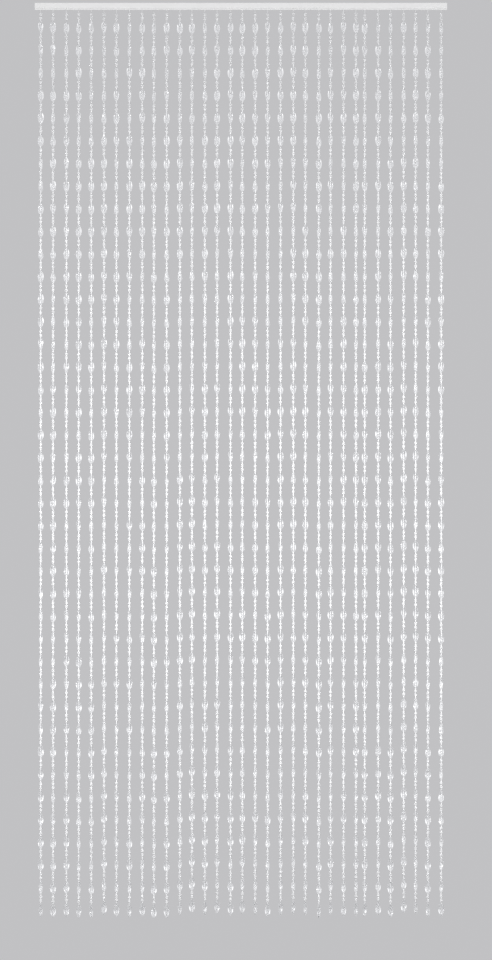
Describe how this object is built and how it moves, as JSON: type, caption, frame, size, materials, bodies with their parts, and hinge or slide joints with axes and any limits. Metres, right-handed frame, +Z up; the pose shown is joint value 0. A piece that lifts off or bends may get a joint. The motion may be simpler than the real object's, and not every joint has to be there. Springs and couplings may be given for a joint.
{
  "type": "bead curtain",
  "caption": "Door-width bead curtain: slim white heading lath with straight strands of clear twisted oval beads and small clear spacers on white thread.",
  "frame": {"origin": "middle of the heading lath's top edge", "axes": "+Z up, opposite to the way the strands hang; +X to the viewer's right across the width; the front faces -Y"},
  "size_m": [0.9, 0.0093, 1.999],
  "materials": {
    "white_lath": "satin moulded white plastic",
    "clear_beads": "polished water-clear acrylic",
    "clear_spacers": "slightly milky clear plastic",
    "white_thread": "twisted white nylon thread"
  },
  "bodies": {
    "root": {"heading_lath": "white_lath", "strands_left": "clear_beads", "strands_right": "clear_beads"}
  },
  "joints": []
}
